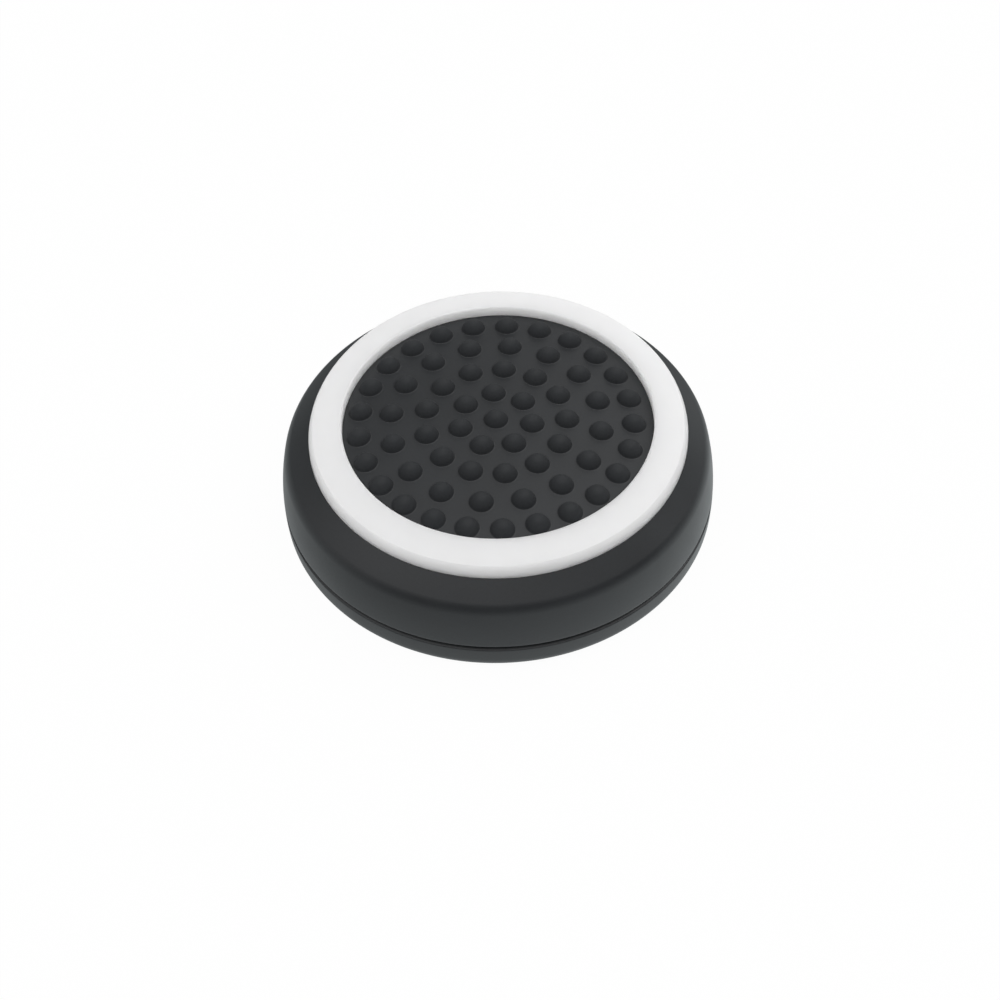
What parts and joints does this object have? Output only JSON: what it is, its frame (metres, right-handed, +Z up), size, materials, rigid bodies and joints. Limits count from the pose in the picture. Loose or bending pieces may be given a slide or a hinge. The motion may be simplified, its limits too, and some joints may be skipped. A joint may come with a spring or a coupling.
{
  "type": "controller thumb grip",
  "caption": "Round soft cap that stretches over a controller's thumb stick, with domes on a crowned pad inside a pale ring, a sloped shoulder and a hollow with a gripping lip.",
  "frame": {"origin": "middle of the flat bottom rim", "axes": "+Z up out of the pad, -Y towards the side that faces the camera in the picture"},
  "size_m": [0.022, 0.022, 0.0066],
  "materials": {
    "black_silicone": "satin",
    "white_silicone": "satin"
  },
  "bodies": {
    "root": {"grip_cap": "black_silicone", "accent_ring": "white_silicone"}
  },
  "joints": []
}
